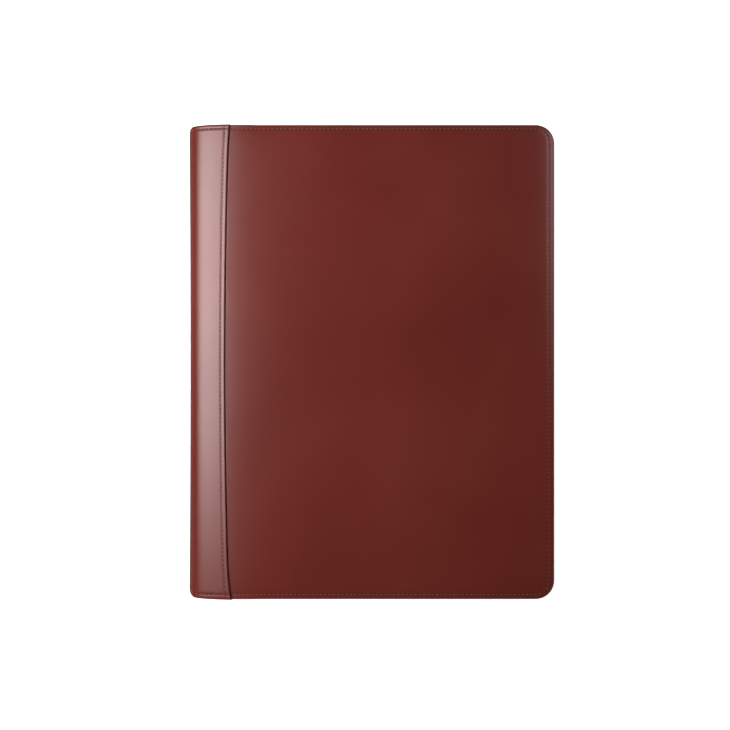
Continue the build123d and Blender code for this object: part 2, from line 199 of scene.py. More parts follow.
def inside(s, y, rect, corner):
    """Distance inside an outline that has round corners at its right end."""
    s0, s1, y0, y1 = rect
    inset = np.minimum(np.minimum(s - s0, s1 - s), np.minimum(y - y0, y1 - y))
    past_s = s - (s1 - corner)
    past_y = np.maximum(y0 + corner - y, y - (y1 - corner))
    in_corner = (past_s > 0) & (past_y > 0)
    return np.where(in_corner, corner - np.hypot(past_s, past_y), inset)


FINE_CELL = 0.7
RIM_STEPS = 4
RIM_SHARE = 0.48  # how far each face's rounded rim goes down the plate's thickness
NEAR = 1e-6  # distances below this count as none


def plate(name, side, rect, shape, materials, corner=0.0, edge=0.3, margin=12.5, cell=5.0, fine_left=0.0):
    """Thin closed plate on a cover.

    rect is (s0, s1, y0, y1), corner the radius of its right corners and edge the radius of its rounded rim.
    margin is the width of the finely divided border, and fine_left widens it at the left. shape gives
    (s, y, depth) from (s, y, inset, share), where share runs from 0 on one face to 1 on the other."""
    s0, s1, y0, y1 = rect
    middle_y = (y0 + y1) / 2
    fringe = margin - (margin - edge) * np.sin(np.linspace(0, math.pi / 2, 17))
    left = s0 + fringe[::-1]
    if fine_left:
        left = np.linspace(s0 + edge, s0 + fine_left, int(fine_left / FINE_CELL))
    across = max(3, int((s1 - margin - left[-1]) / cell))
    s = np.concatenate([left, np.linspace(left[-1], s1 - margin, across)[1:-1], s1 - fringe])
    reach = max(corner - edge, 0.0)
    past = np.clip(s - (s1 - corner), 0, reach)
    drop = reach - np.sqrt(reach**2 - past**2)
    low, high = y0 + drop, y1 - drop
    share = np.linspace(0, 1, max(3, int((y1 - y0 - 2 * margin) / cell)))[1:-1]
    middle = (low + margin)[:, None] + (high - low - 2 * margin)[:, None] * share
    y = np.concatenate([low[:, None] + fringe[::-1], middle, high[:, None] - fringe], 1)
    s = np.broadcast_to(s[:, None], y.shape)
    inset = inside(s, y, rect, corner)
    index = np.arange(s.size).reshape(s.shape)
    loop = border(index)
    edge_s, edge_y = s.reshape(-1)[loop], y.reshape(-1)[loop]
    out_s = (edge_s > s1 - edge - NEAR) * 1.0 - (edge_s < s0 + edge + NEAR)
    out_y = (edge_y > y1 - edge - NEAR) * 1.0 - (edge_y < y0 + edge + NEAR)
    past_s = edge_s - (s1 - corner)
    past_y = np.abs(edge_y - middle_y) - ((y1 - y0) / 2 - corner)
    turning = (past_s > NEAR) & (past_y > NEAR)
    reached = np.maximum(np.hypot(past_s, past_y), NEAR)
    out_s = np.where(turning, past_s / reached, out_s)
    out_y = np.where(turning, past_y / reached * np.sign(edge_y - middle_y), out_y)
    points, rim = [], []

    def add(s_, y_, inset_, share_):
        points.append(on_side(side, *shape(s_, y_, inset_, share_)).reshape(-1, 3))
        rim.append(np.broadcast_to(inset_, s_.shape).reshape(-1))

    add(s, y, inset, 0.0)
    add(s, y, inset, 1.0)
    faces = grid_faces(index) + grid_faces(index + s.size)
    turn = np.arange(1, RIM_STEPS + 1) / RIM_STEPS * math.pi / 2
    outward = np.concatenate([edge * np.sin(turn), edge * np.sin(turn)[::-1]])
    down = RIM_SHARE * (1 - np.cos(turn))
    down = np.concatenate([down, 1 - down[::-1]])
    start = 2 * s.size
    previous = loop
    for out, share_ in zip(outward, down):
        add(edge_s + out_s * out, edge_y + out_y * out, edge - out, share_)
        ring = start + np.arange(len(loop))
        faces += ring_faces(previous, ring)
        previous = ring
        start += len(loop)
    faces += ring_faces(previous, loop + s.size)
    return piece(name, np.concatenate(points), faces, materials, np.concatenate(rim))


# ---------------- stitches

STITCH_PITCH = 2.9
THREAD_RADIUS = 0.32
THREAD_TAPER = 0.8  # how much of the thread's section is gone at a stitch's ends
THREAD_FLAT = 0.8  # height of the thread's section as a share of its width
STITCH_UP, STITCH_SAG = 0.06, 0.26  # height of a stitch's middle, and how far its ends are below it
STITCH_STEPS = 7
PIP_UP = 0.035  # height of a needle hole's dark pip, which is painted shade
PIP_RINGS = ((0.48, PIP_UP), (0.62, -0.05), (0.4, -0.2))  # radius and height
SIDES = np.radians(np.arange(0, 360, 60))
SIGHT = 0.2  # distance either way at which a row's direction is taken


def stitch_form():
    """One stitch as (along, across, up): a short bowed thread whose ends go down into the holes."""
    t = np.linspace(-1, 1, STITCH_STEPS)[:, None]
    radius = THREAD_RADIUS * np.sqrt(1 - THREAD_TAPER * t**2)
    up = STITCH_UP - STITCH_SAG * t**2 + radius * THREAD_FLAT * np.sin(SIDES)
    points = np.stack(np.broadcast_arrays(t, radius * np.cos(SIDES), up), -1).reshape(-1, 3)
    index = np.arange(len(points)).reshape(STITCH_STEPS, len(SIDES))
    return points, tube_faces(index)


def hole_shade_form():
    """A needle hole as a dark pip of painted shade, level with the leather."""
    points = [(0.0, 0.0, PIP_UP)]
    for radius, up in PIP_RINGS:
        points += [(radius * math.cos(a), radius * math.sin(a), up) for a in SIDES]
    rings = 1 + np.arange(len(points) - 1).reshape(-1, len(SIDES))
    faces = [[0, int(rings[0][i]), int(rings[0][i - 1])] for i in range(len(SIDES))]
    faces += ring_faces(rings[0], rings[1]) + ring_faces(rings[1], rings[2]) + [rings[2].tolist()]
    return np.array(points), faces


def stitched(name, rows):
    """Stitches, and dark pips of painted shade at the needle holes, along rows, each given as a path and its
    surface normals.
    """
    points, faces, finish = [], [], []
    start = 0
    # the second form is a needle hole's pip, coloured as painted shade
    forms = ((stitch_form(), 0, 0.5, 0), (hole_shade_form(), 1, 0.0, 1))  # form, how many more, shift, material
    for path, normals in rows:
        run = np.concatenate([[0], np.cumsum(np.linalg.norm(np.diff(path, axis=0), axis=1))])

        def at(distance, column):
            return np.stack([np.interp(distance, run, column[:, i]) for i in range(3)], -1)

        count = max(1, round(run[-1] / STITCH_PITCH))
        pitch = run[-1] / count
        for (form_points, form_faces), more, shift, mark in forms:
            number = count + more
            where = (np.arange(number) + shift) * pitch
            ahead = at(np.minimum(where + SIGHT, run[-1]), path) - at(np.maximum(where - SIGHT, 0), path)
            ahead /= np.linalg.norm(ahead, axis=1)[:, None]
            up = at(where, normals)
            axes = np.stack([ahead, np.cross(up, ahead), up], 1)
            local = form_points * (pitch / STITCH_PITCH if mark == 0 else 1.0, 1.0, 1.0)
            points.append((at(where, path)[:, None] + local @ axes).reshape(-1, 3))
            for _ in range(number):
                faces += [[j + start for j in face] for face in form_faces]
                start += len(local)
            finish += [mark] * (len(form_faces) * number)
    return piece(name, np.concatenate(points), faces, [THREAD, HOLE_SHADE], finish=finish, sharp=60.0)


# ---------------- shape of the spine strip

LIP_MIDDLE = 26.1  # s of the strip's lip at mid height
LIP_BOW = 2.6  # how far the lip stands off at the ends
LIP_TURN_TOP, LIP_TURN_BOTTOM = 0.8, 2.1  # how much further it turns out at its very ends
REST_SLOPE = 5.5  # slope that the strip keeps on the cover, in degrees
FLARE_FADE = 4.4  # distance over which the strip comes down to that slope
STITCH_TOP, STITCH_BOTTOM, STITCH_SIDE, STITCH_LIP = 2.7, 3.3, 3.7, 2.9  # rows, from their edges
CORNER_TOP, CORNER_BOTTOM = 3.4, 5.0  # rounding of the spine's ends, seen from above
CORNER_SOFT = 0.5  # keeps the rounding from making a sharp notch in the open spine
END_PINCH, PINCH_REACH = 0.3, 14.0  # the strip is a little shorter at the spine than on the covers
SQUEEZE = 0.7  # how far the spine is pressed in at mid height
SQUEEZE_WIDTH = 1.4  # in bends
GROOVE = 0.16  # how far a stitch row sinks
GROOVE_WIDTH = 0.7
LIP_GROOVE, LIP_GROOVE_WIDTH = 0.8 * GROOVE, 0.6
LIP_SWELL, LIP_SWELL_AT, LIP_SWELL_WIDTH = 0.08, 1.2, 0.7  # the leather swells between the row and the lip
END_FALL = 0.22  # how much the strip's face falls outside its end rows
STRIP_ROUND, LIP_ROUND = 0.9, 0.45  # radii of its rolled ends and of its lip

FLARE_S = SPINE_RADIUS * (1 - math.sin(math.radians(BEND)))
FLARE_COS = math.cos(math.radians(BEND))
WIDE_RADIUS = (THICK / 2 - SPINE_RADIUS * FLARE_COS) / (1 - FLARE_COS)
FLAT_S = SPINE_RADIUS + (WIDE_RADIUS - SPINE_RADIUS) * math.sin(math.radians(BEND))


def lip(y):
    """s of the strip's lip, which bows towards the spine and turns outwards at the very ends."""
    v = y / HALF_H
    return LIP_MIDDLE + LIP_BOW * v**2 + np.where(v > 0, LIP_TURN_TOP, LIP_TURN_BOTTOM) * np.abs(v) ** 20


def slope_at(s):
    """Slope of the strip's outer face on the front cover, in degrees."""
    return REST_SLOPE + (BEND - REST_SLOPE) * np.exp(-(s - FLARE_S) / FLARE_FADE)


FLARE_TRACK = np.linspace(FLARE_S, LIP_MIDDLE + 15, 600)
FLARE_RISE = np.tan(np.radians(slope_at(FLARE_TRACK)))
FLARE_HEIGHT = THICK / 2 + SPINE_RADIUS * FLARE_COS + np.concatenate(
    [[0], np.cumsum((FLARE_RISE[1:] + FLARE_RISE[:-1]) / 2 * np.diff(FLARE_TRACK))]
)


def section(q):
    """(s, z, outward s, outward z) of the strip's outer face at q, which counts bends from back to front."""
    front = np.maximum(q, BENDS - q)
    flip = np.where(q >= MIDDLE_BEND, 1.0, -1.0)
    turn = np.radians(np.clip(front, MIDDLE_BEND, BENDS - 1) * BEND)
    flaring = front > BENDS - 1
    s_flare = FLARE_S + (FLAT_S - FLARE_S) * np.clip(front - (BENDS - 1), 0, None)
    z_flare = np.interp(s_flare, FLARE_TRACK, FLARE_HEIGHT)
    turn = np.where(flaring, np.radians(180 - slope_at(s_flare)), turn)
    s = np.where(flaring, s_flare, SPINE_RADIUS * (1 - np.sin(turn)))
    z = np.where(flaring, z_flare, THICK / 2 - SPINE_RADIUS * np.cos(turn))
    return s, THICK / 2 + flip * (z - THICK / 2), -np.sin(turn), -np.cos(turn) * flip


def q_of(s):
    """q on the front cover at s."""
    return BENDS - 1 + (s - FLARE_S) / (FLAT_S - FLARE_S)


def end_y(s, end):
    """y of the strip's top (end 1) or bottom (end -1) at s."""
    radius = CORNER_TOP if end > 0 else CORNER_BOTTOM
    short = np.clip(radius - np.hypot(s, CORNER_SOFT), 0, radius)
    corner = radius - np.sqrt(radius**2 - short**2)
    return end * (HALF_H - corner - END_PINCH * smooth(1 - s / PINCH_REACH))


def strip_points(q, y, depth):
    """Points (x, y, z) of the strip at a depth below its outer face."""
    s, z, out_s, out_z = section(q)
    s = s + SQUEEZE * (1 - (y / HALF_H) ** 2) * ridge(q - MIDDLE_BEND, SQUEEZE_WIDTH)
    return np.stack(np.broadcast_arrays(s - out_s * depth - HALF_W, y, z - out_z * depth), -1)


def strip_relief(q, y):
    """How far the strip's outer face sinks along its stitch rows and edges."""
    s = section(q)[0]
    on_cover = np.maximum(q, BENDS - q) > BENDS - 0.5
    from_lip = np.where(on_cover, lip(y) - s, FAR)
    sink = LIP_GROOVE * ridge(from_lip - STITCH_LIP, LIP_GROOVE_WIDTH)
    sink = sink - LIP_SWELL * ridge(from_lip - LIP_SWELL_AT, LIP_SWELL_WIDTH)
    for end, line in ((1, STITCH_TOP), (-1, STITCH_BOTTOM)):
        from_end = end * (end_y(s, end) - y)
        sink = sink + GROOVE * ridge(from_end - line, GROOVE_WIDTH) + END_FALL * smooth(1 - from_end / line)
    return sink


def cut_back(distance, radius):
    """How far a rounded rim falls back at a distance from its edge."""
    short = np.clip(radius - distance, 0, radius)
    return radius - np.sqrt(radius**2 - short**2)


ROLLED_STEPS = [0, 0.05, 0.14, 0.27, 0.45, 0.7, 1, 1.5, 2.1, 2.7, 3.3, 3.9, 4.6, 5.8]  # from the strip's end
HEM_STEPS = np.array(ROLLED_STEPS + [HEM - 0.05, HEM + 0.05])
CLOTH_STEPS = np.array([0, 0.06, 0.15, 0.4])
CLOTH_INSET = HEM + 0.1


def strip_columns(s, steps=HEM_STEPS, inset=0.0):
    """y of each column across the strip, for each s; closely spaced at both ends."""
    low = end_y(s, -1) + inset
    high = end_y(s, 1) - inset
    middle = np.linspace(-1, 1, 49) * (HALF_H - 2 * HEM)
    middle = np.broadcast_to(middle, s.shape + middle.shape)
    return np.concatenate([low[..., None] + steps, middle, high[..., None] - steps[::-1]], -1)


def close_ends(a, b, count):
    """Numbers from a to b that draw together at both ends, so that the shading meets the next piece's."""
    return a + (b - a) * (1 - np.cos(np.linspace(0, math.pi, count))) / 2


def strip_skin(name, q, y, from_lip):
    """Leather of a length of the strip, from a grid of q and y."""
    s = section(q)[0]
    from_end = np.minimum(y - end_y(s, -1), end_y(s, 1) - y)
    hem = (from_end < HEM) & (s < TONGUE - 0.05)
    thick = np.where(hem, SPINE_LINED, LEATHER)
    radius = np.minimum(STRIP_ROUND, thick / 2 - 0.02)
    cut = np.maximum(cut_back(from_end, radius), cut_back(from_lip, LIP_ROUND))
    outer = strip_points(q, y, cut + strip_relief(q, y))
    inner = strip_points(q, y, thick - cut * 0.9)
    rim = np.tile(np.minimum(from_end, from_lip).reshape(-1), 2)
    points, faces = slab(outer, inner)
    side = (q.shape[0] - 1) * (q.shape[1] - 1)
    finish = [0] * side + [1] * side + [0] * (len(faces) - 2 * side)
    return piece(name, points, faces, [COVER_LEATHER, POCKET_LEATHER], rim, finish)


def strip_cloth(name, q, y):
    """Lining of a length of the strip, from a grid of q and y."""
    from_end = np.minimum(y - y[:, :1], y[:, -1:] - y)
    cut = cut_back(from_end, 0.15)
    inner = strip_points(q, y, SPINE_LINED - cut)
    return piece(name, *slab(inner, strip_points(q, y, SPINE_LINED - SPINE_CLOTH + cut)), [CLOTH])


# ---------------- shape of the covers

LIP_DROP = 0.4  # how far the panel lies below the cover's face at the lip
DIP_REACH = 12.0
TUCK, TUCK_SLOPE = 0.12, 0.15  # the panel falls away under the strip
BOW_END, BOW_WIDTH = 60.0, 26.0  # the mesh follows the lip's bow up to BOW_END and lets go over BOW_WIDTH
NARROW_END = 27.0  # left of this s the panel is 1 mm shorter at each end
COVER_RECT = (TONGUE, WIDTH, -HALF_H, HALF_H)
EDGE_RECT = (-FAR, WIDTH, -HALF_H, HALF_H)
DOME_WIDTH = 15.0  # the panel curves down over this width
DOME_DROP = 0.6
MARGIN_FALL = 0.45  # how much more the margin outside the stitches falls
STITCH_RECT = (-FAR, WIDTH - STITCH_SIDE, -HALF_H + STITCH_BOTTOM, HALF_H - STITCH_TOP)
STITCH_CORNER = CORNER - STITCH_SIDE + 0.5
LINING_SINK, LINING_SINK_WIDTH = 0.14, 0.8  # along the lining's stitch rows
LINING_SLACK = 0.05  # how far the lining lies below the CAD lining's face, and the height of its waves
INNER_ROW_DEPTH = LINED - LINING_SINK - LINING_SLACK


def dip(beyond):
    """Depth of the panel's face at a distance beyond the lip."""
    under = np.clip(-beyond, 0, None)
    fading = LIP_DROP * np.exp(-np.clip(beyond, 0, None) / DIP_REACH)
    return fading + TUCK_SLOPE * under + TUCK * smooth(under)


def panel_relief(s, y):
    """Depth of the cover's domed border, its stitch groove and the falling margin outside the stitches."""
    line = inside(s, y, STITCH_RECT, STITCH_CORNER)
    dome = DOME_DROP * np.clip(1 - inside(s, y, EDGE_RECT, CORNER) / DOME_WIDTH, 0, 1) ** 2
    fall = MARGIN_FALL * smooth(np.clip(-line, 0, None) / STITCH_SIDE)
    beside_strip = smooth((s - LIP_MIDDLE) / (2 * DOME_WIDTH))
    return (dome + fall) * beside_strip + GROOVE * ridge(line, GROOVE_WIDTH)


def cover_shape(s, y, inset, share):
    """The outer panel with its edge folded in round the board."""
    bow = (lip(y) - LIP_MIDDLE) * smooth((BOW_END - s) / BOW_WIDTH)
    top = dip(s - LIP_MIDDLE) + panel_relief(s, y)
    hollow = (inset > TURN_IN) & (s > LIP_MIDDLE + TURN_IN)
    under = np.where(hollow & (share == 1.0), LEATHER, INNER_FACE)
    narrow = smooth(NARROW_END - s)
    return s + bow * (1 - share), y * (1 - narrow / HALF_H), top * (1 - share) + under * share


def lining_shape(s, y, inset, share):
    """Cloth that sinks a little along its stitch rows, with soft waves between them."""
    line = inside(s, y, STITCH_RECT, STITCH_CORNER)
    seam = s - (LIP_MIDDLE - STITCH_LIP)
    sink = LINING_SINK * (ridge(line, LINING_SINK_WIDTH) + ridge(seam, LINING_SINK_WIDTH))
    wave = LINING_SLACK * np.sin(s / 17.0 + 1.3 * np.sin(y / 41.0)) * smooth(inset / 10)
    face = LINED - sink - LINING_SLACK + wave
    return s, y, face * (1 - share) + INNER_FACE * share


def outline_path(rect, corner, start):
    """Path (s, y) along the top, round both right corners and back along the bottom of an outline."""
    s1, y0, y1 = rect[1:]
    centre = s1 - corner
    runs = [straight(start(y1), y1, centre, y1)]
    for turn, y in ((90, y1 - corner), (0, y0 + corner)):
        angle = np.radians(np.linspace(turn, turn - 90, 24))
        runs.append(np.stack([centre + corner * np.cos(angle), y + corner * np.sin(angle)], -1))
    runs.append(straight(centre, y0, start(y0), y0))
    return np.concatenate(runs)


def straight(s0, y0, s1, y1, count=200):
    return np.stack([np.linspace(s0, s1, count), np.linspace(y0, y1, count)], -1)


def level_row(side, path, depth, facing):
    """Stitch row along a path (s, y); facing is 1 on a cover's outer face and -1 inside the case."""
    normals = np.zeros((len(path), 3))
    normals[:, 2] = facing if side == "front" else -facing
    return on_side(side, path[:, 0], path[:, 1], depth), normals


def strip_row(q, y, mirrored=False):
    """Stitch row on the strip along q and y."""
    q, y = np.broadcast_arrays(q, y)
    points = strip_points(q, y, strip_relief(q, y))
    _, _, out_s, out_z = section(q)
    normals = np.stack([out_s, np.zeros_like(out_s), out_z], -1)
    if mirrored:
        points = points * (1, 1, -1) + (0, 0, THICK)
        normals = normals * (1, 1, -1)
    return points, normals


def end_line(q, end):
    """y of the stitch row across the strip's top or bottom end."""
    return end_y(section(q)[0], end) - end * (STITCH_TOP if end > 0 else STITCH_BOTTOM)


# ---------------- materials


class Graph:
    """The node tree of a new material or world, written as nested calls."""

    def __init__(self, name, kind="materials"):
        self.owner = getattr(bpy.data, kind).new(name)
        self.owner.use_nodes = True
        self.tree = self.owner.node_tree
        self.surface = self.tree.nodes.get("Principled BSDF")

    def feed(self, node, key, value):
        """Links or sets an input, found by its name or by its number as i0, i1 and so on."""
        numbered = key[0] == "i" and key[1:].isdigit()
        socket = node.inputs[int(key[1:]) if numbered else key]
        if isinstance(value, bpy.types.NodeSocket):
            self.tree.links.new(value, socket)
        elif isinstance(value, tuple) and len(value) == 3 and socket.type == "RGBA":
            socket.default_value = (*value, 1)
        else:
            socket.default_value = value

    def node(self, kind, settings=None, **inputs):
        made = self.tree.nodes.new(kind)
        for key, value in (settings or {}).items():
            setattr(made, key, value)
        for key, value in inputs.items():
            self.feed(made, key.replace("_", " "), value)
        return made

    def math(self, operation, a, b=0.0):
        return self.node("ShaderNodeMath", {"operation": operation}, i0=a, i1=b).outputs[0]

    def place(self):
        return self.node("ShaderNodeTexCoord").outputs["Object"]

    def stretched(self, scale):
        return self.node("ShaderNodeMapping", Vector=self.place(), Scale=scale).outputs[0]

    def noise(self, scale, detail=2.0, vector=None, roughness=0.5):
        inputs = {"Vector": vector or self.place(), "Scale": scale, "Detail": detail, "Roughness": roughness}
        return self.node("ShaderNodeTexNoise", **inputs).outputs["Fac"]

    def cells(self, scale, feature="F1"):
        made = self.node("ShaderNodeTexVoronoi", {"feature": feature}, Vector=self.place(), Scale=scale)
        return made.outputs[0]

    def waves(self, direction, scale, distortion=0.0):
        settings = {"wave_type": "BANDS", "bands_direction": direction}
        place = self.place()
        made = self.node("ShaderNodeTexWave", settings, Vector=place, Scale=scale, Distortion=distortion)
        return made.outputs["Fac"]

    def ramp(self, value, *stops):
        made = self.node("ShaderNodeValToRGB", Fac=value)
        elements = made.color_ramp.elements
        while len(elements) < len(stops):
            elements.new(0.5)
        for element, (place, colour) in zip(elements, stops):
            element.position = place
            element.color = (*colour, 1)
        return made.outputs["Color"]

    def rescale(self, value, from_low, from_high, to_low=0.0, to_high=1.0):
        return self.node(
            "ShaderNodeMapRange", {"interpolation_type": "SMOOTHSTEP"},
            Value=value, From_Min=from_low, From_Max=from_high, To_Min=to_low, To_Max=to_high,
        ).outputs["Result"]

    def mix(self, share, a, b):
        return self.node("ShaderNodeMix", {"data_type": "RGBA"}, i0=share, i6=a, i7=b).outputs[2]

    def rim(self):
        return self.node("ShaderNodeAttribute", {"attribute_name": "rim"}).outputs["Fac"]

    def bump(self, height, depth_mm, strength=1.0, normal=None):
        made = self.node("ShaderNodeBump", Height=height, Distance=depth_mm * MM, Strength=strength)
        if normal:
            self.feed(made, "Normal", normal)
        return made.outputs["Normal"]

    def finish(self, colour, roughness, normal, **more):
        inputs = {"Base_Color": colour, "Roughness": roughness, "Normal": normal, **more}
        for key, value in inputs.items():
            self.feed(self.surface, key.replace("_", " "), value)
        return self.owner


EDGE_PAINT = (0.045, 0.010, 0.008)


def leather(name, deep, mid, warm, shine, grain):
    """Smooth dyed leather: cloudy colour, fine pores and creases, painted edges, and a painted highlight
    that makes the rolled margins paler.
    """
    g = Graph(name)
    colour = g.ramp(g.noise(9), (0.34, deep), (0.52, mid), (0.7, warm))
    fine = g.noise(900, 3)
    colour = g.mix(g.rescale(fine, 0.3, 0.7, 0.0, 0.14), colour, deep)
    # painted highlight: a band 0.3 to 3.4 mm in from the cut edge, on the rolled margins, is mixed towards
    # the warm colour as if it caught the light
    rolled = g.math("MULTIPLY", g.rescale(g.rim(), 0.3, 0.9), g.rescale(g.rim(), 3.4, 1.6))
    colour = g.mix(g.math("MULTIPLY", rolled, 0.35), colour, warm)
    colour = g.mix(g.rescale(g.rim(), 0.8, 0.3), colour, EDGE_PAINT)
    pores = g.rescale(g.cells(1150, "DISTANCE_TO_EDGE"), 0.0, 0.16)
    normal = g.bump(pores, grain, 0.5, g.bump(g.noise(260, 5, roughness=0.6), grain * 2, 0.5))
    cloudy = g.rescale(g.noise(24, 3), 0.3, 0.7, shine - 0.015, shine + 0.015)
    roughness = g.math("ADD", cloudy, g.math("MULTIPLY", fine, 0.02))
    return g.finish(colour, roughness, normal, Specular_IOR_Level=0.5, Specular_Tint=(1.0, 0.9, 0.9))


def twill(name, dark, light):
    """Woven lining: fine diagonal ribs of thread with a soft sheen."""
    g = Graph(name)
    across = g.rescale(g.waves("Y", 420.0, 0.4), 0, 1, 0.6, 1.0)
    weave = g.math("MULTIPLY", g.waves("DIAGONAL", 330.0, 0.8), across)
    shade = g.math("ADD", weave, g.math("MULTIPLY", g.noise(35, 3), 0.35))
    colour = g.ramp(shade, (0.1, dark), (1.0, light))
    return g.finish(colour, 0.85, g.bump(weave, 0.12, 0.8), Sheen_Weight=0.25)


def twisted_thread(name, dark, light):
    """Waxed thread: tight diagonal strands."""
    g = Graph(name)
    strand = g.waves("DIAGONAL", 900.0)
    colour = g.ramp(strand, (0.2, dark), (0.9, light))
    return g.finish(colour, 0.55, g.bump(strand, 0.06, 0.7), Specular_IOR_Level=0.3)


# Needle hole pips: a near-black colour that paints the shade inside each hole.
def needle_hole_shade(name):
    g = Graph(name)
    colour = g.ramp(g.noise(900), (0.3, (0.010, 0.002, 0.002)), (0.8, (0.028, 0.006, 0.005)))
    return g.finish(colour, 0.8, g.bump(g.noise(700), 0.03))


def card(name, dark, light):
    """Grey-brown chipboard with fibres and flecks."""
    g = Graph(name)
    fibre = g.noise(260, 6, g.stretched((1.0, 0.25, 1.0)), 0.7)
    colour = g.ramp(fibre, (0.3, dark), (0.7, light))
    colour = g.mix(g.rescale(g.cells(480), 0.06, 0.14), (0.10, 0.085, 0.07), colour)
    return g.finish(colour, 0.9, g.bump(fibre, 0.05))


PAD_LOW, PAD_HIGH = span("pad_sheets")
RULE_PITCH = 7.1
RULE_HEADROOM = 32.0
MARGIN_LINE = 32.0


def ruled_paper(name):
    """Off-white writing paper with fine blue rules and a red margin line."""
    g = Graph(name)
    fibre = g.noise(700, 5, roughness=0.7)
    colour = g.ramp(fibre, (0.3, (0.66, 0.63, 0.55)), (0.7, (0.74, 0.72, 0.64)))
    apart = g.node("ShaderNodeSeparateXYZ", Vector=g.place())
    x, y = apart.outputs["X"], apart.outputs["Y"]
    lines = g.math("DIVIDE", g.math("SUBTRACT", y, PAD_LOW.y * MM), RULE_PITCH * MM)
    rule = g.rescale(g.math("ABSOLUTE", g.math("SUBTRACT", g.math("FRACT", lines), 0.5)), 0.03, 0.018)
    first = (PAD_HIGH.y - RULE_HEADROOM) * MM
    body = g.rescale(y, first, first - 0.5 * MM, 0.0, 0.75)
    colour = g.mix(g.math("MULTIPLY", rule, body), colour, (0.30, 0.42, 0.62))
    from_margin = g.math("ABSOLUTE", g.math("SUBTRACT", x, (PAD_LOW.x + MARGIN_LINE - HALF_W) * MM))
    colour = g.mix(g.rescale(from_margin, 0.0003, 0.00015, 0.0, 0.7), colour, (0.62, 0.16, 0.16))
    return g.finish(colour, 0.75, g.bump(fibre, 0.02, 0.6))


def paper_edge(name):
    """Cut edge of a stack of sheets: fine level lines."""
    g = Graph(name)
    lines = g.noise(900, 3, g.stretched((0.02, 0.02, 12.0)), 0.7)
    colour = g.ramp(lines, (0.25, (0.52, 0.49, 0.42)), (0.65, (0.86, 0.84, 0.77)))
    return g.finish(colour, 0.85, g.bump(lines, 0.08))


def bookbinding(name):
    """Binding tape with a fine pressed linen pattern."""
    g = Graph(name)
    weave = g.math("MAXIMUM", g.waves("X", 420.0, 0.6), g.waves("Y", 420.0, 0.6))
    shade = g.math("MULTIPLY", g.math("ADD", weave, g.math("MULTIPLY", g.noise(60), 0.4)), 0.7)
    colour = g.ramp(shade, (0.3, (0.028, 0.008, 0.008)), (0.9, (0.075, 0.020, 0.018)))
    return g.finish(colour, 0.6, g.bump(weave, 0.06))


def steel(name):
    """Drawn wire."""
    g = Graph(name)
    drawn = g.noise(500, 4, g.stretched((0.05, 1.0, 1.0)))
    colour = g.ramp(drawn, (0.3, (0.42, 0.42, 0.43)), (0.7, (0.62, 0.62, 0.63)))
    return g.finish(colour, g.rescale(drawn, 0.3, 0.7, 0.25, 0.4), g.bump(drawn, 0.01), Metallic=1.0)


COVER_LEATHER = leather(
    "burgundy_leather", deep=(0.138, 0.0208, 0.0150), mid=(0.151, 0.0230, 0.0163),
    warm=(0.166, 0.0280, 0.0205), shine=0.20, grain=0.02,
)
POCKET_LEATHER = leather(
    "pocket_leather", deep=(0.080, 0.014, 0.011), mid=(0.102, 0.018, 0.014),
    warm=(0.135, 0.028, 0.021), shine=0.42, grain=0.05,
)
CLOTH = twill("lining_twill", (0.042, 0.014, 0.012), (0.150, 0.060, 0.051))
THREAD = twisted_thread("burgundy_thread", (0.12, 0.032, 0.024), (0.27, 0.095, 0.070))
# painted shade for the needle holes
HOLE_SHADE = needle_hole_shade("needle_hole_shade")
BOARD = card("stiffener_board", (0.20, 0.17, 0.13), (0.36, 0.32, 0.26))
BACKING = card("backing_card", (0.26, 0.22, 0.17), (0.42, 0.37, 0.30))
SHEET = ruled_paper("ruled_paper")
SHEET_EDGE = paper_edge("paper_edges")
TAPE = bookbinding("binding_tape")
STEEL = steel("staple_steel")

# ---------------- spine


def spine_bend(number):
    """Leather, lining and end stitches of one bend."""
    q = close_ends(number - 1.0, number, 17)
    y = strip_columns(section(q)[0])
    q = np.broadcast_to(q[:, None], y.shape)
    skin = strip_skin(f"spine_leather_bend_{number}", q, y, np.full(y.shape, FAR))
    bent(skin, number, "spine_leather")

    q = close_ends(number - 1.0, number, 15)
    y = strip_columns(section(q)[0], CLOTH_STEPS, CLOTH_INSET)
    q = np.broadcast_to(q[:, None], y.shape)
    bent(strip_cloth(f"spine_lining_bend_{number}", q, y), number, "spine_lining")

    q = np.linspace(number - 1.0, number, 40)[1:-1]
    rows = [strip_row(q, end_line(q, end)) for end in (1, -1)]
    bent(stitched(f"spine_stitches_bend_{number}", rows), number, "spine_thread")


def turn_over(obj):
    """Mirrors a piece of the front cover to the back cover."""
    mesh = obj.data
    points = np.zeros(len(mesh.vertices) * 3, np.float32)
    mesh.vertices.foreach_get("co", points)
    points = points.reshape(-1, 3)
    points[:, 2] = THICK * MM - points[:, 2]
    mesh.vertices.foreach_set("co", points.ravel())
    mesh.flip_normals()
    mesh.update()


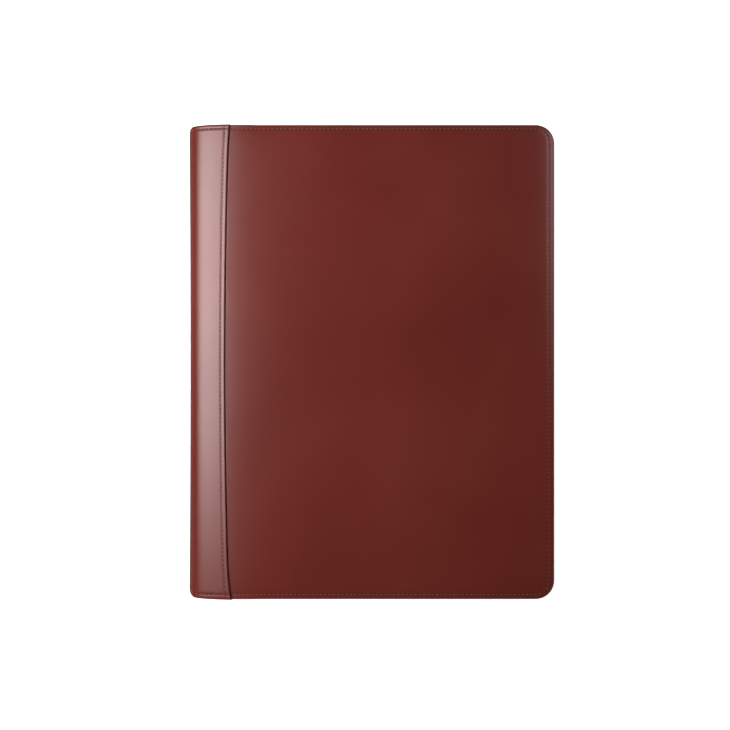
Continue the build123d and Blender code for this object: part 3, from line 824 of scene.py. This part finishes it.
def flange(side):
    """The strip's flat part on a cover: leather up to the lip, and its lining up to the cover's tongue."""
    y = strip_columns(np.array([FLAT_S]))[0]
    s = FLAT_S + (lip(y)[None] - FLAT_S) * close_ends(0, 1, 22)[:, None]
    y = np.broadcast_to(y, s.shape)
    skin = strip_skin(f"{side}_strip", q_of(s), y, lip(y) - s)
    y = strip_columns(np.array([FLAT_S]), CLOTH_STEPS, CLOTH_INSET)[0]
    s = np.linspace(FLAT_S, TONGUE - 0.1, 6)[:, None] + 0 * y
    cloth = strip_cloth(f"{side}_strip_lining", q_of(s), np.broadcast_to(y, s.shape))
    if side == "back":
        turn_over(skin)
        turn_over(cloth)
    wear(skin, f"{side}_cover", "spine_leather", f"{side}_spine_flange")
    wear(cloth, f"{side}_cover", "lining", f"{side}_spine_flange_lining")


# ---------------- covers

SEAM_BOTTOM = -HALF_H + 6.2  # y of the ends of the lip's stitch row
SEAM_TOP = HALF_H - 5.6
BEFORE_LIP, PAST_LIP = 1.0, 1.2  # where the edge's row stops on the strip and starts on the panel
OVER_PAD_POCKET = PAD_MOUTH + 2  # y where the back lining's rows stop
LINING_INSET = 1.5


def sew(name, body, rows):
    """Stitches along rows, riding on a body and standing for its thread."""
    wear(stitched(f"{name}_stitches", rows), body, "thread", f"{name}_thread")


def inner_row(side):
    """Stitch rows round the lining, where no pocket covers them."""
    start = TONGUE + 1
    path = outline_path(STITCH_RECT, STITCH_CORNER, lambda y: start)
    if side == "back":
        return [level_row(side, path[path[:, 1] > OVER_PAD_POCKET], INNER_ROW_DEPTH, -1)]
    rows = []
    for y in (HALF_H - STITCH_TOP, -HALF_H + STITCH_BOTTOM):
        rows.append(level_row(side, straight(start, y, DOCUMENT_MOUTH - 1, y), INNER_ROW_DEPTH, -1))
    return rows


def cover(side):
    """Outer panel, lining and stitches of one cover."""
    body = f"{side}_cover"
    panel = plate(
        f"{side}_cover_panel", side, COVER_RECT, cover_shape, [COVER_LEATHER], CORNER,
        edge=0.6, margin=CORNER, fine_left=26.0,
    )
    wear(panel, body, "cover_leather", f"{side}_cover_leather")
    rect = (TONGUE, WIDTH - LINING_INSET, -HALF_H + LINING_INSET, HALF_H - LINING_INSET)
    corner = CORNER - LINING_INSET
    name = f"{side}_lining"
    lining = plate(name, side, rect, lining_shape, [CLOTH], corner, edge=0.2, margin=corner, cell=6.0)
    wear(lining, body, "lining", f"{side}_cover_lining")

    path = outline_path(STITCH_RECT, STITCH_CORNER, lambda y: float(lip(y)) + PAST_LIP)
    depth = dip(path[:, 0] - lip(path[:, 1])) + panel_relief(path[:, 0], path[:, 1])
    rows = [level_row(side, path, depth, 1)]
    for end in (1, -1):
        stop = float(lip(end * (HALF_H - STITCH_TOP))) - BEFORE_LIP
        q = np.linspace(BENDS, q_of(stop), 60)
        rows.append(strip_row(q, end_line(q, end), side == "back"))
    sew(f"{side}_edge", body, rows + inner_row(side))

    y = np.linspace(SEAM_BOTTOM, SEAM_TOP, 400)
    outer = strip_row(q_of(lip(y) - STITCH_LIP), y, side == "back")
    line = LIP_MIDDLE - STITCH_LIP
    low = OVER_PAD_POCKET if side == "back" else SEAM_BOTTOM
    inner = level_row(side, straight(line, low, line, SEAM_TOP), INNER_ROW_DEPTH, -1)
    sew(f"{side}_seam", body, [outer, inner])

    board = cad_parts[f"{side}_cover_board"]
    board.data.materials.clear()
    board.data.materials.append(BOARD)


# ---------------- pockets

POCKET_MARGIN = 1.5
POCKET_SEAM = 3.0
POCKET_THICK = 1.0
CARD_THICK = 0.8
MOUTH_ROW, CARD_MOUTH_ROW = 3.0, 2.6  # decorative rows, from the pockets' mouths
MOUTH_SINK, MOUTH_SINK_WIDTH = 0.12, 0.6
SEAM_SINK, SEAM_SINK_WIDTH = 0.14, 0.7
POCKET_CORNER = CORNER - POCKET_MARGIN
POCKET_ROW = POCKET_MARGIN + POCKET_SEAM / 2
POCKET_RIGHT = WIDTH - POCKET_MARGIN
POCKET_BOTTOM = -HALF_H + POCKET_MARGIN


def pocket_face(s, y, sewn, corner, low, high, start, width):
    """Depth of a pocket's face: sewn down at its border and lifted over its room."""
    border_distance = inside(s, y, sewn, corner)
    lifted = low + (high - low) * smooth((border_distance - start) / width)
    return lifted - SEAM_SINK * ridge(border_distance - POCKET_SEAM / 2, SEAM_SINK_WIDTH)


def document_shape(s, y, inset, share):
    sewn = (-FAR, POCKET_RIGHT, POCKET_BOTTOM, -POCKET_BOTTOM)
    sewn_depth = LINED + POCKET_THICK
    face = pocket_face(s, y, sewn, POCKET_CORNER, sewn_depth, DOCUMENT_FACE, start=2.4, width=11.0)
    face = face - MOUTH_SINK * ridge(s - DOCUMENT_MOUTH - MOUTH_ROW, MOUTH_SINK_WIDTH)
    return s, y, face - POCKET_THICK * share


def pad_pocket_face(s, y):
    sewn = (POCKET_LEFT, POCKET_RIGHT, POCKET_BOTTOM, FAR)
    return pocket_face(s, y, sewn, POCKET_CORNER, LINED + POCKET_THICK, PAD_FACE, start=2.0, width=1.4)


def pad_pocket_shape(s, y, inset, share):
    """The plate's upper right corner is round, so it is stretched up to the pocket's square one."""
    past_s = np.clip(s - (POCKET_RIGHT - POCKET_CORNER), 0, POCKET_CORNER)
    lift = POCKET_CORNER - np.sqrt(POCKET_CORNER**2 - past_s**2)
    y = y + lift * smooth((y - (PAD_MOUTH - 3 * POCKET_CORNER)) / (2 * POCKET_CORNER))
    face = pad_pocket_face(s, y) - MOUTH_SINK * ridge(PAD_MOUTH - y - MOUTH_ROW, MOUTH_SINK_WIDTH)
    return s, y, face - POCKET_THICK * share


def pocket_panel(node, side, rect, shape, corner=POCKET_CORNER, edge=0.4, margin=POCKET_CORNER, cell=4.0):
    """Leather of a pocket inside a cover, standing for the pocket's CAD node."""
    panel = plate(f"{node}_panel", side, rect, shape, [POCKET_LEATHER], corner, edge, margin, cell)
    wear(panel, f"{side}_cover", "pocket_leather", node)


def document_pocket():
    """Pocket that covers the front cover's inside, open towards the spine."""
    rect = (DOCUMENT_MOUTH, POCKET_RIGHT, POCKET_BOTTOM, -POCKET_BOTTOM)
    pocket_panel("document_pocket", "front", rect, document_shape)
    line = (0, WIDTH - POCKET_ROW, -HALF_H + POCKET_ROW, HALF_H - POCKET_ROW)
    mouth = DOCUMENT_MOUTH + MOUTH_ROW
    rows = []
    for path in (
        outline_path(line, CORNER - POCKET_ROW, lambda y: DOCUMENT_MOUTH + 1.2),
        straight(mouth, -HALF_H + 7, mouth, HALF_H - 7, 400),
    ):
        rows.append(level_row("front", path, document_shape(path[:, 0], path[:, 1], 0, 0)[2], -1))
    sew("document_pocket", "front_cover", rows)


def pad_pocket():
    """Pocket for the pad's backing, sewn down at both sides and the bottom."""
    rect = (POCKET_LEFT, POCKET_RIGHT, POCKET_BOTTOM, PAD_MOUTH)
    pocket_panel("pad_pocket", "back", rect, pad_pocket_shape)
    left, right, top = POCKET_LEFT + POCKET_SEAM / 2, WIDTH - POCKET_ROW, PAD_MOUTH - 1
    outline = outline_path((0, right, -HALF_H + POCKET_ROW, FAR), CORNER - POCKET_ROW, lambda y: left)
    corner_and_bottom = outline[outline[:, 1] < top]
    sides = np.concatenate([
        straight(right, top, *corner_and_bottom[0])[:-1],
        corner_and_bottom,
        straight(left, corner_and_bottom[-1, 1], left, top)[1:],
    ])
    mouth = straight(POCKET_LEFT + 5, PAD_MOUTH - MOUTH_ROW, WIDTH - 6, PAD_MOUTH - MOUTH_ROW, 300)
    rows = []
    for path in (sides, mouth):
        rows.append(level_row("back", path, pad_pocket_face(path[:, 0], path[:, 1]), -1))
    sew("pad_pocket", "back_cover", rows)


def card_pockets():
    """Two small pockets on the document pocket, open at the top."""
    rows = []
    for name in ("card_pocket_upper", "card_pocket_lower"):
        low, high = span(name)
        sewn_depth, lifted = THICK - high.z + CARD_THICK, THICK - low.z

        def shape(s, y, inset, share):
            sewn = (low.x, high.x, low.y, FAR)
            face = pocket_face(s, y, sewn, 0.0, sewn_depth, lifted, start=2.2, width=6.0)
            face = face - 0.1 * ridge(high.y - y - CARD_MOUTH_ROW, 0.5)
            return s, y, face - CARD_THICK * share

        rect = (low.x, high.x, low.y, high.y)
        pocket_panel(name, "front", rect, shape, corner=0.0, edge=0.35, margin=9.0, cell=3.0)
        line = POCKET_SEAM / 2
        left, right, bottom, top = low.x + line, high.x - line, low.y + line, high.y - 1
        mouth = high.y - CARD_MOUTH_ROW
        for path in (
            straight(left, top, left, bottom),
            straight(left, bottom, right, bottom),
            straight(right, bottom, right, top),
            straight(left + 3, mouth, right - 3, mouth),
        ):
            rows.append(level_row("front", path, shape(path[:, 0], path[:, 1], 0, 0)[2], -1))
    sew("card_pocket", "front_cover", rows)


# ---------------- writing pad

SHEET_GROUPS = 34
SHEET_STRAY = 0.25  # how far a group of sheets strays inwards
SHEET_NICK = 0.15  # depth of the line between two groups
HEADER = 12.0
OVER_STITCHES = 0.35  # room between the pocket and the sheets, for the pocket's stitches


def stack(name, rect, heights, insets):
    """Closed stack of level rings at heights, each drawn in by its inset; its top face is a ruled sheet."""
    s0, s1, y0, y1 = rect
    points = []
    for z, inset in zip(heights, insets):
        for s, y in ((s0 + inset, y0 + inset), (s1 - inset, y0 + inset), (s1 - inset, y1), (s0 + inset, y1)):
            points.append((s - HALF_W, y, z))
    faces = tube_faces(np.arange(len(points)).reshape(-1, 4))
    finish = [1] * (len(faces) - 1) + [0]
    return piece(name, points, faces, [SHEET, SHEET_EDGE], finish=finish, sharp=20.0)


def writing_pad():
    """Sheets whose edges don't quite line up, the bound header under them, and the card."""
    chance = np.random.default_rng(5)
    rect = (PAD_LOW.x, PAD_HIGH.x, PAD_LOW.y, PAD_HIGH.y)
    floor = PAD_FACE + OVER_STITCHES
    rise = (PAD_HIGH.z - floor) / SHEET_GROUPS
    heights, insets = [], []
    for i in range(SHEET_GROUPS):
        z = floor + rise * i
        inset = SHEET_STRAY * chance.random()
        heights += [z, z + 0.8 * rise, z + 0.85 * rise, z + 0.95 * rise]
        insets += [inset, inset, inset + SHEET_NICK, inset + SHEET_NICK]
    sheets = stack("pad_sheets_stack", rect, heights[:-2] + [PAD_HIGH.z], insets[:-2] + [inset])
    wear(sheets, "pad", "paper", "pad_sheets")
    low, high = span("pad_backing")
    header_rect = (PAD_LOW.x + 0.05, PAD_HIGH.x - 0.05, PAD_HIGH.y - HEADER, PAD_HIGH.y)
    header = stack("pad_header", header_rect, [high.z, floor - 0.02], [0, 0])
    wear(header, "pad", "paper")

    def shape(s, y, inset, share):
        return s, y, high.z * (1 - share) + low.z * share

    rect = (low.x, high.x, low.y, high.y)
    backing = plate("pad_backing_card", "back", rect, shape, [BACKING], edge=0.2, cell=20.0)
    wear(backing, "pad", "backing", "pad_backing")


def binding_tape():
    """Tape folded over the pad's header, with rounded folds."""
    low, high = span("pad_binding_tape")
    thick, fold = 0.15, 0.6
    outline = [(low.y, high.z)]
    for turn, z in ((90, high.z - fold), (0, low.z + fold)):
        for angle in np.radians(np.linspace(turn, turn - 90, 7)):
            outline.append((high.y - fold + fold * math.cos(angle), z + fold * math.sin(angle)))
    outline = np.array(outline + [(low.y, low.z)])
    step = np.gradient(outline, axis=0)
    inward = np.stack([step[:, 1], -step[:, 0]], -1)
    inward /= np.linalg.norm(inward, axis=1)[:, None]
    s = np.linspace(low.x, high.x, 62)
    torn = 0.03 * np.sin(s / 9.0)

    def sheet(line):
        y, z = [np.broadcast_to(column[:, None], (len(line), len(s))) for column in line.T]
        return np.stack([np.broadcast_to(s - HALF_W, y.shape), y + torn * (y < low.y + 1), z], -1)

    tape = piece("pad_tape", *slab(sheet(outline), sheet(outline + inward * thick)), [TAPE])
    wear(tape, "pad", "tape", "pad_binding_tape")


def wire(path, radius, sides=10):
    """Points and faces of a round wire along a path in an XZ plane."""
    path = np.asarray(path, float)
    step = np.gradient(path, axis=0)
    step /= np.linalg.norm(step, axis=1)[:, None]
    across = np.array([0.0, 1.0, 0.0])
    up = np.cross(step, across)
    angle = np.linspace(0, 2 * math.pi, sides, endpoint=False)[None, :, None]
    points = path[:, None] + radius * (np.cos(angle) * across + np.sin(angle) * up[:, None])
    return points.reshape(-1, 3), tube_faces(np.arange(points.size // 3).reshape(len(path), sides))


def staples():
    """Bent wires, their crowns level with the top sheet and their legs down to the backing."""
    low, high = span("pad_staples")
    radius, crown, fold, pitch = 0.25, 12.0, 0.5, 80.0
    middle = (low.x + high.x) / 2 - HALF_W
    y = (low.y + high.y) / 2
    top = high.z - radius
    reach = crown / 2 - radius
    points, faces = [], []
    for i in (-1, 0, 1):
        centre = middle + pitch * i
        path = [(centre - reach, y, low.z + 0.1)]
        for end in (-1, 1):
            for turn in np.radians(np.linspace(0, 90, 6)[:: -end]):
                s = centre + end * (reach - fold + fold * math.cos(turn))
                path.append((s, y, top - fold + fold * math.sin(turn)))
        path.append((centre + reach, y, low.z + 0.1))
        wire_points, wire_faces = wire(path, radius)
        faces += [[j + len(points) for j in face] for face in wire_faces]
        points += wire_points.tolist()
    wear(piece("pad_staple_wires", points, faces, [STEEL]), "pad", "staple", "pad_staples")


# ---------------- pen loop

LOOP_OUTER, LOOP_INNER = 6.1, 5.2
LOOP_LENGTH = 46.0
LOOP_CENTRE = SPINE_LINED + LOOP_OUTER
FOOT = 0.7  # thickness of the foot, down to FOOT_GAP above the lining
FOOT_GAP = 0.02
FOOT_PAST = 4.0  # how far the foot reaches past the tube's ends
FOOT_TURN = 13 / BEND  # half the foot's width, in bends
FOOT_ROW = 0.8  # length of its stitch rows, as a share of its width
FOOT_STEPS = np.array([0, 0.05, 0.15, 0.3, 0.6])


def loop_tube(half):
    """Points, distances from the ends, and faces of the tube with its rounded ends."""
    bulge = (LOOP_OUTER - LOOP_INNER) / 2
    angle = np.radians(np.arange(0, 360, 6))
    turns = np.radians(np.linspace(90, -90, 9))
    points, rim = [], []
    for end, turn in [(1, t) for t in turns] + [(-1, t) for t in turns[::-1]]:
        radius = LOOP_INNER + bulge + bulge * math.sin(turn)
        y = end * (half - bulge + bulge * math.cos(turn))
        for a in angle:
            s = LOOP_CENTRE + radius * math.cos(a)
            points.append((s - HALF_W, y, THICK / 2 + radius * math.sin(a)))
        rim += [half - abs(y)] * len(angle)
    index = np.arange(len(points)).reshape(-1, len(angle))
    faces = []
    for low, high in zip(index, np.roll(index, -1, axis=0)):
        faces += ring_faces(low, high)
    return points, rim, faces


def pen_loop():
    """Leather rolled into a tube, its foot sewn flat against the spine's lining."""
    half = LOOP_LENGTH / 2
    points, rim, faces = loop_tube(half)

    reach = half + FOOT_PAST
    q = np.linspace(MIDDLE_BEND - FOOT_TURN, MIDDLE_BEND + FOOT_TURN, 16)[:, None]
    y = np.concatenate([FOOT_STEPS - reach, np.linspace(2 - reach, reach - 2, 30), reach - FOOT_STEPS[::-1]])
    q, y = np.broadcast_arrays(q, y[None])
    upper = strip_points(q, y, SPINE_LINED + FOOT - cut_back(reach - np.abs(y), 0.3))
    foot, foot_faces = slab(upper, strip_points(q, y, SPINE_LINED + FOOT_GAP))
    faces += [[i + len(points) for i in face] for face in foot_faces]
    rim += (reach - np.abs(np.tile(y.reshape(-1), 2))).tolist()
    loop = piece("pen_loop_leather", np.concatenate([points, foot]), faces, [POCKET_LEATHER], rim)
    wear(loop, "spine_3", "pocket_leather", "pen_loop")

    rows = []
    q = np.linspace(MIDDLE_BEND - FOOT_TURN * FOOT_ROW, MIDDLE_BEND + FOOT_TURN * FOOT_ROW, 20)
    _, _, out_s, out_z = section(q)
    normals = -np.stack([out_s, np.zeros_like(out_s), out_z], -1)
    for y in (-half - FOOT_PAST / 2, half + FOOT_PAST / 2):
        rows.append((strip_points(q, np.full_like(q, y), SPINE_LINED + FOOT), normals))
    sew("pen_loop", "spine_3", rows)


for bend_number in range(1, BENDS + 1):
    spine_bend(bend_number)
for cover_side in ("back", "front"):
    flange(cover_side)
    cover(cover_side)
document_pocket()
pad_pocket()
card_pockets()
writing_pad()
binding_tape()
staples()
pen_loop()

# ---------------- studio

SHEET_HEIGHT = 0.55  # of both glowing sheets, in metres like all of the studio
ROOM_OVERHEAD, ROOM_LEVEL = 0.02, 0.26  # light from above and from the walls
ROOM_LEFT = 0.4  # share of that light which comes from the left
FLOOR_SIZE, FLOOR_Z = 12.0, -1.3 * MM
FLOOR_PALE, FLOOR_DIM = (0.86, 0.86, 0.86), (0.25, 0.25, 0.25)  # the dim one is in reflections
CAMERA_HEIGHT = 0.600  # above the front cover's face
FRAME_WIDTH = 0.4914  # width of the view at that face


def staged(name, corners, material):
    """Flat four-cornered sheet that belongs to the studio."""
    mesh = bpy.data.meshes.new(name)
    mesh.from_pydata(corners, [], [(0, 1, 2, 3)])
    mesh.materials.append(material)
    obj = bpy.data.objects.new(name, mesh)
    bpy.context.scene.collection.objects.link(obj)
    return obj


def glowing_sheet(name, glow, x_dark, x_bright, x_end, y_dark, y_bright, y_end):
    """Level sheet unseen by the camera, whose glow fades in from its dark edges to the bright lines."""
    g = Graph(f"{name}_glow")
    apart = g.node("ShaderNodeSeparateXYZ", Vector=g.node("ShaderNodeNewGeometry").outputs["Position"])
    across = g.rescale(apart.outputs["X"], x_dark, x_bright)
    up = g.rescale(apart.outputs["Y"], y_dark, y_bright)
    strength = g.math("MULTIPLY", g.math("MULTIPLY", across, up), glow)
    light = g.node("ShaderNodeEmission", Strength=strength)
    g.feed(g.tree.nodes["Material Output"], "Surface", light.outputs[0])
    corners = [(x_dark, y_dark), (x_dark, y_end), (x_end, y_end), (x_end, y_dark)]
    sheet = staged(name, [(x, y, SHEET_HEIGHT) for x, y in corners], g.owner)
    sheet.visible_camera = False


def floor():
    """Plain pale floor, nearly white to the camera and dim in the leather's reflections."""
    g = Graph("pale_floor")
    ray = g.node("ShaderNodeLightPath").outputs
    place = g.node("ShaderNodeNewGeometry").outputs
    dot, length = {"operation": "DOT_PRODUCT"}, {"operation": "LENGTH"}
    steep = g.node("ShaderNodeVectorMath", dot, i0=place["Incoming"], i1=place["Normal"]).outputs["Value"]
    distance = g.node("ShaderNodeVectorMath", length, i0=place["Position"]).outputs["Value"]
    near = g.rescale(steep, 0.75, 0.92, 0.45, 0.85)
    far = g.rescale(distance, 0.25, 0.7)
    glow = g.math("MULTIPLY", ray["Is Camera Ray"], g.math("MAXIMUM", near, far))
    g.feed(g.surface, "Base Color", g.mix(ray["Is Glossy Ray"], FLOOR_PALE, FLOOR_DIM))
    g.feed(g.surface, "Roughness", 0.9)
    g.feed(g.surface, "Emission Color", (1.0, 1.0, 1.0))
    g.feed(g.surface, "Emission Strength", glow)
    corners = [(-1, -1), (1, -1), (1, 1), (-1, 1)]
    staged("floor", [(x * FLOOR_SIZE, y * FLOOR_SIZE, FLOOR_Z) for x, y in corners], g.owner)


def surroundings():
    """Room, white to the camera. Its light is dim overhead and on the left, and brighter at the walls."""
    g = Graph("studio", "worlds")
    apart = g.node("ShaderNodeSeparateXYZ", Vector=g.node("ShaderNodeTexCoord").outputs["Generated"])
    walls = g.rescale(apart.outputs["Z"], 0.88, 0.45, ROOM_OVERHEAD, ROOM_LEVEL)
    left = g.rescale(apart.outputs["X"], -0.7, -0.1, ROOM_LEFT, 1.0)
    seen = g.node("ShaderNodeLightPath").outputs["Is Camera Ray"]
    level = g.math("MAXIMUM", seen, g.math("MULTIPLY", walls, left))
    background = g.tree.nodes["Background"]
    g.feed(background, "Color", (1.0, 1.0, 1.0))
    g.feed(background, "Strength", level)
    bpy.context.scene.world = g.owner
    bpy.context.scene.view_settings.view_transform = "Standard"


def camera():
    """Straight above the front cover, slightly left of its middle and below it."""
    data = bpy.data.cameras.new("camera")
    data.sensor_width = 36.0
    data.lens = data.sensor_width * CAMERA_HEIGHT / FRAME_WIDTH
    data.clip_start = 0.01
    data.clip_end = 100.0
    obj = bpy.data.objects.new("camera", data)
    obj.location = (-0.0037, -0.0020, THICK * MM + CAMERA_HEIGHT)
    bpy.context.scene.collection.objects.link(obj)
    bpy.context.scene.camera = obj


glowing_sheet(
    "softbox", glow=10.6, x_dark=-0.84, x_bright=-0.45, x_end=-0.254, y_dark=-0.42, y_bright=0.08, y_end=0.36
)
glowing_sheet(
    "reflector", glow=3.0, x_dark=0.25, x_bright=0.42, x_end=0.60, y_dark=-0.12, y_bright=0.38, y_end=0.50
)
floor()
surroundings()
camera()
